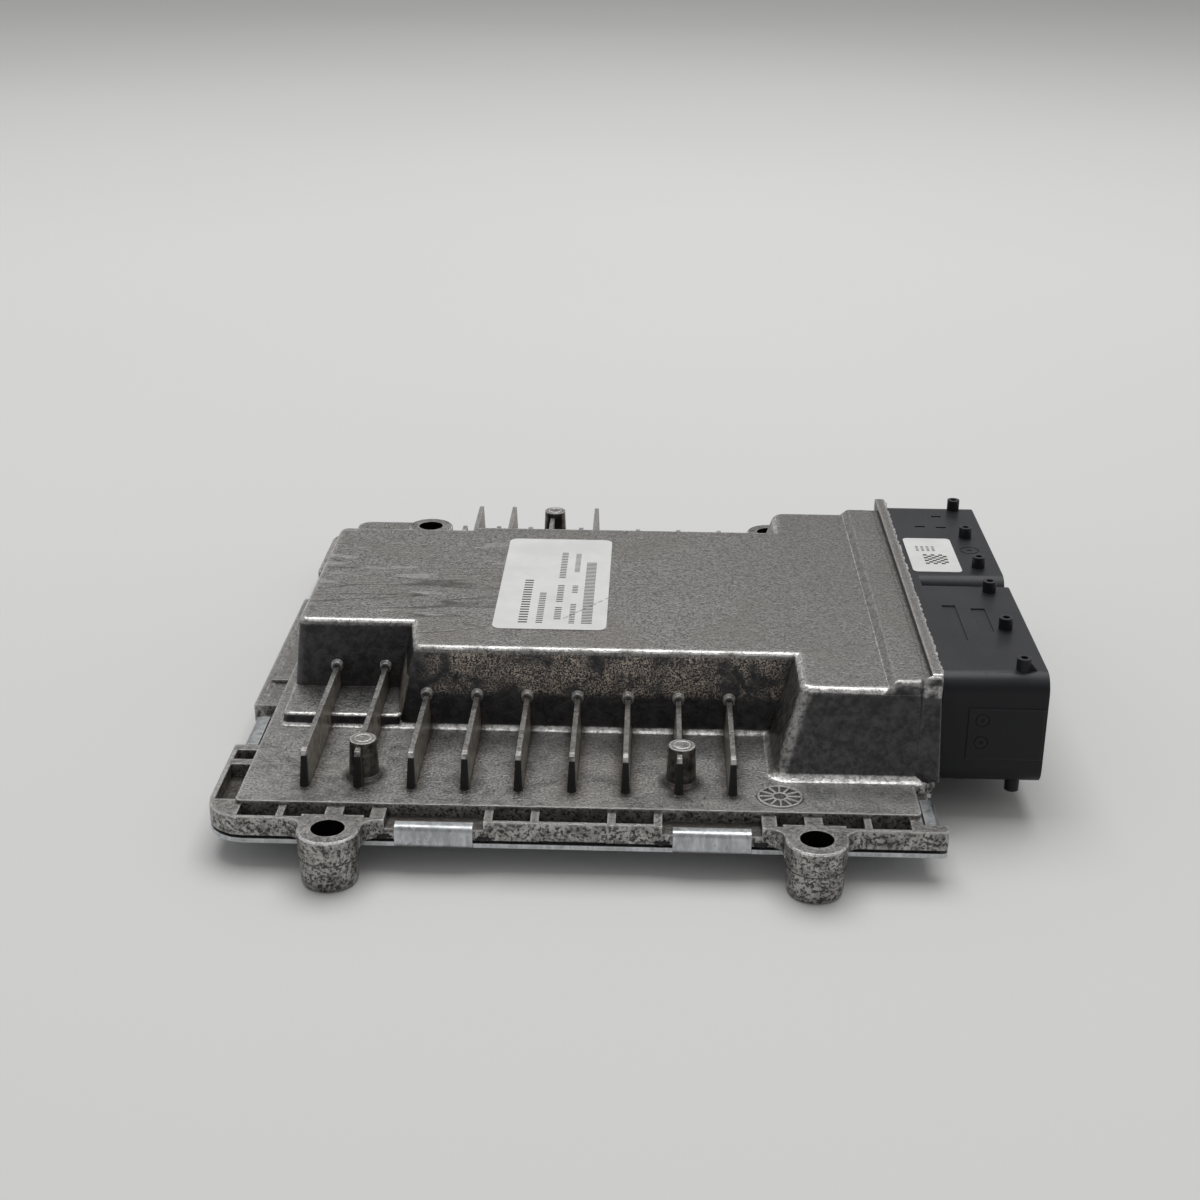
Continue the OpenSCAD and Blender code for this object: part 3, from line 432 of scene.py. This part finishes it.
        colour = self.coats(
            self.mix(level, self.mix(self.lip, self.wall(), self.skirt()), self.top()),
            # Crevices: brown dirt and painted shade
            (self.both(crevice, 0.7), CREVICE_DIRT_AND_SHADE),
            # Tight corners and grooves: painted shade
            (self.both(corner_shade, 0.8), CORNER_SHADE),
            (self.both(boss_foot, 0.75), BOSS_FOOT),
            (self.both(bend, patchy, bends_left), FILLET_WEAR_AND_HIGHLIGHT),
            # Crown of the plateau: painted highlight and wear
            (self.both(verge, patchy, crown, 0.8), CROWN_WEAR_AND_HIGHLIGHT),
            # Outer edges: painted highlight and wear
            (self.both(edge, edges_left), EDGE_WEAR_AND_HIGHLIGHT),
            # Painted highlight on the fin tips and the knobs
            (self.both(self.fin_tips, self.ease(self.mottle, 0.34, 0.62, 0.15, 0.7)), TIP_HIGHLIGHT),
            (self.both(self.knobs, 0.75), TIP_HIGHLIGHT))
        # Inside the mounting holes: painted shade
        colour = self.mix(off_bores, BORE_SHADE, colour)
        dirt = self.math("MAXIMUM", self.fin_sides, crevice)
        dents = self.math("ADD", self.flow_line, self.both(self.pit, self.lip))
        normal = self.bump(self.mottle, 0.14, self.soft_edges(0.35))
        normal = self.bump(self.grain, 0.08, normal)
        normal = self.bump(dents, -0.05, normal)
        return self.set(Base_Color=colour, Metallic=self.spare(dirt, 0.5), Normal=normal,
                        Roughness=self.ease(self.mottle, 0.25, 0.75, 0.34, 0.48))


def plated_sheet():
    """Plated steel sheet, streaked and a little stained."""
    look = Look("plated_sheet", Metallic=1.0)
    streak = look.noise((1.3, 1.3, 5.0), 4.0, 0.65, 0.4)
    cloud = look.noise(4.0, 3.0, 0.6)
    stain = look.ease(look.noise(1.6, 3.0, 0.7), 0.58, 0.72)
    edge = look.ease(look.closeness(0.5, inside=True), 0.1, 0.5)
    colour = look.coats(
        look.mix(look.ease(streak, 0.35, 0.65), *ZINC),
        (look.ease(cloud, 0.4, 0.7, 0.0, 0.5), ZINC_DULL),
        (look.both(stain, 0.5), ZINC_STAIN),
        (look.both(edge, 0.6), ZINC_EDGE))
    return look.set(Base_Color=colour, Roughness=look.ease(cloud, 0.3, 0.7, 0.30, 0.46),
                    Normal=look.bump(streak, 0.03, look.soft_edges(0.3)))


def black_moulding():
    """Black plastic with a fine grain, paler on top, on its end and at its edges as painted light,
    its sides in painted shade.
    """
    look = Look("black_moulding")
    level = look.ease(look.axis(look.facing, "Z"), 0.3, 0.8)
    endwise = look.ease(look.axis(look.facing, "X"), 0.5, 0.9)
    cloud = look.noise(14.0, 3.0, 0.55)
    grain = look.noise(0.35, 2.0, 0.5)
    scuff = look.ease(look.noise((0.8, 9.0, 9.0), 3.0, 0.6), 0.6, 0.72)
    edge = look.ease(look.closeness(0.6, inside=True), 0.15, 0.6)
    # Painted shade on the sides, painted light on the end and the top, painted highlight on the
    # edges
    colour = look.coats(
        look.mix(endwise, *HEADER_SIDE_SHADE),
        (level, look.mix(look.ease(cloud, 0.3, 0.7), *HEADER_LIT_TOP)),
        (look.both(edge, 0.5), HEADER_EDGE_HIGHLIGHT))
    rough = look.math("ADD", look.ease(cloud, 0.3, 0.7, 0.36, 0.44), look.both(scuff, 0.08))
    return look.set(Base_Color=colour, Roughness=rough,
                    Specular_IOR_Level=look.ease(level, 0.0, 1.0, 0.2, 0.36),
                    Normal=look.bump(grain, 0.012, look.soft_edges(0.3)))


def black_bead():
    """Lumpy black sealant."""
    look = Look("black_bead", Specular_IOR_Level=0.4)
    lumps = look.noise(1.1, 3.0, 0.6)
    return look.set(Base_Color=look.mix(look.ease(lumps, 0.35, 0.7), *BEAD),
                    Roughness=look.ease(lumps, 0.3, 0.7, 0.4, 0.6), Normal=look.bump(lumps, 0.15))


def label_film():
    """White film, hazy and rubbed, with one scuffed line over the main label."""
    look = Look("label_film", Specular_IOR_Level=0.4)
    haze = look.noise(9.0, 3.0, 0.6)
    rub = look.ease(look.noise((1.2, 7.0, 7.0), 4.0, 0.7, 0.8), 0.62, 0.74)
    over, ahead = (look.math("SUBTRACT", look.axis(look.place, name), start * MM)
                   for name, start in zip("XY", SCUFF_AT))
    rise = look.math("MULTIPLY", over, SCUFF_SLOPE)
    off_line = look.math("ABSOLUTE", look.math("SUBTRACT", rise, ahead))
    scuff = look.both(look.ramp(off_line, 0.1, 0.55, 1.0, 0.0), look.zone(x=(SCUFF_AT[0], 5.0)),
                      look.ease(look.noise(1.4, 3.0, 0.7), 0.38, 0.55))
    colour = look.coats(
        look.mix(look.ease(haze, 0.3, 0.7), *FILM),
        (look.both(rub, 0.35), FILM_RUB),
        (look.both(scuff, 0.75), FILM_SCUFF))
    return look.set(Base_Color=colour, Roughness=look.ease(haze, 0.3, 0.7, 0.34, 0.46),
                    Normal=look.bump(look.noise(2.0, 2.0, 0.5), 0.02))


def metal(name, dull, bright, rough, streak_size):
    """Plain bright metal with a fine streak: pins, cans and screws."""
    look = Look(name, Metallic=1.0)
    streak = look.noise(streak_size, 3.0, 0.6)
    return look.set(Base_Color=look.mix(look.ease(streak, 0.3, 0.7), dull, bright),
                    Roughness=look.ease(streak, 0.3, 0.7, rough - 0.06, rough + 0.08),
                    Normal=look.bump(streak, 0.01, look.soft_edges(0.12)))


def moulded(name, dark, light, rough):
    """Matt moulded or fired body with a fine grain."""
    look = Look(name)
    grain = look.noise(0.4, 3.0, 0.6)
    cloud = look.noise(5.0, 2.0, 0.5)
    return look.set(Base_Color=look.mix(look.ease(cloud, 0.3, 0.7), dark, light),
                    Roughness=look.ease(grain, 0.3, 0.7, rough - 0.06, rough + 0.06),
                    Normal=look.bump(grain, 0.015, look.soft_edges(0.15)))


def add_piece(name, mesh, material):
    """Puts a mesh in the scene as part of the object."""
    mesh.materials.append(material)
    piece = bpy.data.objects.new(name, mesh)
    bpy.context.scene.collection.objects.link(piece)
    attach(piece, "root")
    return piece


def skin(node, material):
    """A welded copy of a CAD node, shaded smooth over its fillets and sharp at its edges."""
    work = bmesh.new()
    work.from_mesh(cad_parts[node].data)
    bmesh.ops.remove_doubles(work, verts=work.verts, dist=WELD)
    for face in work.faces:
        face.smooth = True
    for edge in work.edges:
        edge.smooth = edge.calc_face_angle(math.pi) < SMOOTH_BELOW
    mesh = bpy.data.meshes.new(node + "_skin")
    work.to_mesh(mesh)
    work.free()
    piece = add_piece(node + "_skin", mesh, material)
    piece.modifiers.new("flat_faces_lead", "WEIGHTED_NORMAL").keep_sharp = True
    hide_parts(node)


def wear(node, material):
    """Gives a CAD node its finish."""
    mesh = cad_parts[node].data
    mesh.materials.clear()
    mesh.materials.append(material)


def swept(name, rings, material, loop=False):
    """Closed solid through a row of like rings in millimetres, which may run back to its start."""
    count = len(rings[0])
    total = len(rings) * count
    verts = [Vector(p) * MM for ring in rings for p in ring]
    faces = [] if loop else [tuple(range(count))[::-1], tuple(range(total - count, total))]
    for k in range(len(rings) if loop else len(rings) - 1):
        for i in range(count):
            j = (i + 1) % count
            a, b = k * count, (k + 1) * count % total
            faces.append((a + i, a + j, b + j, b + i))
    mesh = bpy.data.meshes.new(name)
    mesh.from_pydata(verts, [], faces)
    mesh.polygons.foreach_set("use_smooth", [True] * len(mesh.polygons))
    add_piece(name, mesh, material)


def turned(name, centre, profile, material):
    """Closed ring of cast metal about an upright axis: the profile lists radius and height."""
    rings = []
    for k in range(TURN_STEPS):
        angle = 2 * math.pi * k / TURN_STEPS
        way = Vector((math.cos(angle), math.sin(angle), 0))
        rings.append([centre + way * r + Vector((0, 0, h)) for r, h in profile])
    swept(name, rings, material, loop=True)


def steps(start, end, pitch):
    """Even steps from start to end, about a pitch apart."""
    count = max(2, round(abs(end - start) / pitch))
    return [start + (end - start) * k / count for k in range(count + 1)]


def wobble(place, seed):
    """Smooth number from 0 to 1 along a line."""
    return min(max(0.5 + 0.5 * noise.noise((place, seed, 0.5 * seed)), 0.0), 1.0)


def round_ring(centre, radius, along):
    """Points round an axis that runs along X or Y."""
    ring = []
    for k in range(TUBE_STEPS):
        angle = 2 * math.pi * k / TUBE_STEPS
        a, b = radius * math.cos(angle), radius * math.sin(angle)
        ring.append(centre + (Vector((a, 0, b)) if along == "Y" else Vector((0, -a, b))))
    return ring


def joint_bead(material):
    """Sealant squeezed up between the rim and the header."""
    rings = []
    for y in steps(-55.4, 52.0, 0.45):
        lift = 0.5 * wobble(y * 0.9, 3.1) + 0.3 * wobble(y * 2.3, 7.7)
        radius = 0.22 + 0.16 * wobble(y * 1.7, 1.3)
        rings.append(round_ring(Vector((76.15, y, 32.75 + lift)), radius, "Y"))
    swept("joint_bead", rings, material)


def rim_flash(material):
    """Ragged casting flash left along the outer edge of the rim."""
    rings = []
    for y in steps(-57.0, 53.4, 0.35):
        ragged = wobble(y * 0.8, 5.2) + 0.35 * wobble(y * 3.1, 2.4)
        reach = 0.08 + 0.75 * max(0.0, ragged - 0.45)
        rise = 0.12 * wobble(y * 2.7, 9.1)
        rings.append([(75.7, y, 33.8), (75.9 + reach, y, 33.72 + rise),
                      (75.88 + reach, y, 33.92 + rise), (75.6, y, 34.06 + rise)])
    swept("rim_flash", rings, material)


def rim_root(material):
    """Front end of the rim, which widens downwards over the corner of the block."""
    low, high, tip = 12.4, 33.0, 33.7
    inner, outer, back = 72.6, 75.8, -57.7
    rings = []
    for z in steps(low, high, 2.0):
        left = 69.6 + 1.9 * (z - low) / (high - low)
        front = -64.75 + BLOCK_DRAFT * (z - low)
        outline = [(inner, back), (left, front + 0.6), (left + 1.4, front + 0.15), (75.2, front),
                   (75.6, front + 0.1), (75.76, front + 0.35), (outer, front + 0.75),
                   (outer, back)]
        rings.append([(x, y, z) for x, y in outline])
    # The last ring draws in so that the tip ends inside the rim
    rings.append([(min(max(x, 73.75), 75.7), max(y, -58.3), tip) for x, y, _ in rings[-1]])
    swept("rim_root", rings, material)


def seam_lumps(material):
    """Lumps of sealant at the ends of the front notches."""
    for k, x in enumerate(NOTCH_ENDS_X):
        rings = []
        for t in steps(-1.0, 1.0, 0.2):
            swell = math.sqrt(max(0.02, 1 - t * t))
            radius = (0.5 + 0.4 * wobble(6 * t, 4.0 + k)) * swell
            centre = Vector((x + 2.1 * t, -83.8, 7.1 + 0.9 * wobble(4 * t, 11.0 + k)))
            rings.append(round_ring(centre, radius, "X"))
        swept("seam_lump_%d" % (k + 1), rings, material)


def boss_rings(material):
    """Raised ring on each boss over a board screw, and the cast flare round its foot."""
    for k, (x, y, top) in enumerate(BOSSES, 1):
        turned("boss_ring_%d" % k, Vector((x, y, top)), BOSS_RING, material)
        turned("boss_flare_%d" % k, Vector((x, y, DECK_Z)), BOSS_FLARE, material)


def print_ticks(name, fields, z, material):
    """Rows of plain ticks: each field is left, right, front, rear, tick pitch and tick width."""
    work = bmesh.new()
    for left, right, front, rear, pitch, width in fields:
        for k in range(int((rear - front) / pitch)):
            y = front + k * pitch
            size = Matrix.Diagonal(((right - left) * MM, width * MM, TICK_HEIGHT * MM, 1))
            at = Vector(((left + right) / 2, y + width / 2, z)) * MM
            bmesh.ops.create_cube(work, size=1.0, matrix=Matrix.Translation(at) @ size)
    mesh = bpy.data.meshes.new(name)
    work.to_mesh(mesh)
    work.free()
    add_piece(name, mesh, material)


def label_print(material):
    """Plain ticks and bars where the labels are printed."""
    low, high = (corner / MM for corner in map(Vector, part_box("main_label")))
    wide, deep = high.x - low.x, high.y - low.y
    fields = [(low.x + a * wide, low.x + b * wide, low.y + c * deep, low.y + d * deep, pitch, width)
              for a, b, c, d, pitch, width in MAIN_PRINT]
    print_ticks("main_label_print", fields, high.z, material)

    low, high = (corner / MM for corner in map(Vector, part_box("header_label")))
    cell, checks_x, bars_x, bar_pitch = 0.95, low.x + 3.6, low.x + 2.4, 1.3
    checks = [(checks_x + cell * i, checks_x + cell * (i + 1), low.y + 5 + cell * (i % 2),
               low.y + 12.6, 2 * cell, cell) for i in range(6)]
    bars = [(bars_x + bar_pitch * i, bars_x + 0.7 + bar_pitch * i, low.y + 14, low.y + 18.4,
             0.9, 0.45) for i in range(4)]
    print_ticks("header_label_print", checks + bars, high.z, material)


def dress():
    """Gives every node its look and adds the small pieces."""
    skins = {
        "housing": Casting().build(),
        "base_plate": plated_sheet(),
        "connector_header": black_moulding(),
    }
    for node, material in skins.items():
        skin(node, material)

    bead = black_bead()
    film = label_film()
    tinned = metal("tinned_pin", (0.60, 0.57, 0.48), (0.78, 0.75, 0.66), 0.26, (6.0, 0.4, 0.4))
    package = moulded("package_body", (0.02, 0.02, 0.021), (0.035, 0.035, 0.036), 0.55)
    resist = moulded("solder_resist", (0.012, 0.075, 0.035), (0.018, 0.105, 0.05), 0.3)
    pad = moulded("soft_pad", (0.36, 0.39, 0.44), (0.44, 0.47, 0.52), 0.7)
    can = metal("can_metal", (0.55, 0.55, 0.55), (0.75, 0.75, 0.75), 0.3, (1.0, 1.0, 8.0))
    ceramic = moulded("fired_ceramic", (0.42, 0.31, 0.2), (0.55, 0.43, 0.3), 0.45)
    core = moulded("choke_core", (0.05, 0.05, 0.052), (0.08, 0.08, 0.083), 0.6)
    crystal = metal("crystal_can", (0.6, 0.6, 0.62), (0.78, 0.78, 0.8), 0.25, (3.0, 0.8, 0.8))
    sensor = moulded("sensor_case", (0.04, 0.04, 0.043), (0.065, 0.065, 0.07), 0.5)
    zinc = metal("screw_zinc", (0.5, 0.5, 0.51), (0.7, 0.71, 0.72), 0.34, 0.6)
    finishes = (
        (bead, ("rim_seal", "header_seal")),
        (film, ("main_label", "header_label")),
        (tinned, ("front_signal_pins", "front_power_pins", "rear_signal_pins",
                  "rear_power_pins")),
        (package, ("microcontroller", "flash_memory", "supply_chip", "driver_chips",
                   "power_transistors", "output_stages")),
        (resist, ("circuit_board",)),
        (pad, ("heat_pads",)),
        (can, ("electrolytic_capacitors",)),
        (ceramic, ("ceramic_capacitors",)),
        (core, ("choke",)),
        (crystal, ("crystal",)),
        (sensor, ("pressure_sensor",)),
        (zinc, ("board_screws",)),
    )
    for material, nodes in finishes:
        for node in nodes:
            wear(node, material)

    joint_bead(bead)
    rim_flash(skins["housing"])
    rim_root(skins["housing"])
    boss_rings(skins["housing"])
    seam_lumps(bead)
    label_print(moulded("label_ink", (0.03, 0.03, 0.032), (0.06, 0.06, 0.062), 0.5))


def floor():
    """Plain pale floor."""
    look = Look("pale_floor", Specular_IOR_Level=0.15, Roughness=0.7)
    cloud = look.noise(900.0, 2.0, 0.5)
    look.set(Base_Color=look.mix(look.ease(cloud, 0.3, 0.7), *FLOOR))
    half = FLOOR_HALF
    corners = [(-half, -half, 0), (half, -half, 0), (half, half, 0), (-half, half, 0)]
    mesh = bpy.data.meshes.new("floor")
    mesh.from_pydata(corners, [], [(0, 1, 2, 3)])
    mesh.materials.append(look.material)
    plane = bpy.data.objects.new("floor", mesh)
    bpy.context.scene.collection.objects.link(plane)


def light():
    world = bpy.data.worlds.new("studio")
    world.use_nodes = True
    room = world.node_tree.nodes["Background"]
    room.inputs["Color"].default_value = WORLD_TINT
    room.inputs["Strength"].default_value = WORLD_LIGHT
    bpy.context.scene.world = world
    box = bpy.data.lights.new("softbox", "AREA")
    box.shape = "SQUARE"
    box.size = SOFTBOX_SIDE
    box.energy = SOFTBOX_POWER
    lamp = bpy.data.objects.new("softbox", box)
    lamp.location = SOFTBOX_AT
    bpy.context.scene.collection.objects.link(lamp)


def camera():
    ahead = Vector((math.sin(YAW) * math.cos(PITCH), math.cos(YAW) * math.cos(PITCH),
                    -math.sin(PITCH)))
    level = Vector((math.cos(YAW), -math.sin(YAW), 0))
    down = ahead.cross(level)
    right = level * math.cos(ROLL) + down * math.sin(ROLL)
    below = down * math.cos(ROLL) - level * math.sin(ROLL)
    turn = Matrix((right, -below, -ahead)).transposed().to_4x4()
    data = bpy.data.cameras.new("camera")
    data.sensor_width = SENSOR
    data.lens = SENSOR * FOCAL_PX / PHOTO_PX
    data.clip_start = CLIP_START
    body = bpy.data.objects.new("camera", data)
    body.matrix_world = Matrix.Translation(CAMERA_AT) @ turn
    bpy.context.scene.collection.objects.link(body)
    bpy.context.scene.camera = body


camera()
dress()
floor()
light()
bpy.context.scene.view_settings.view_transform = "Standard"
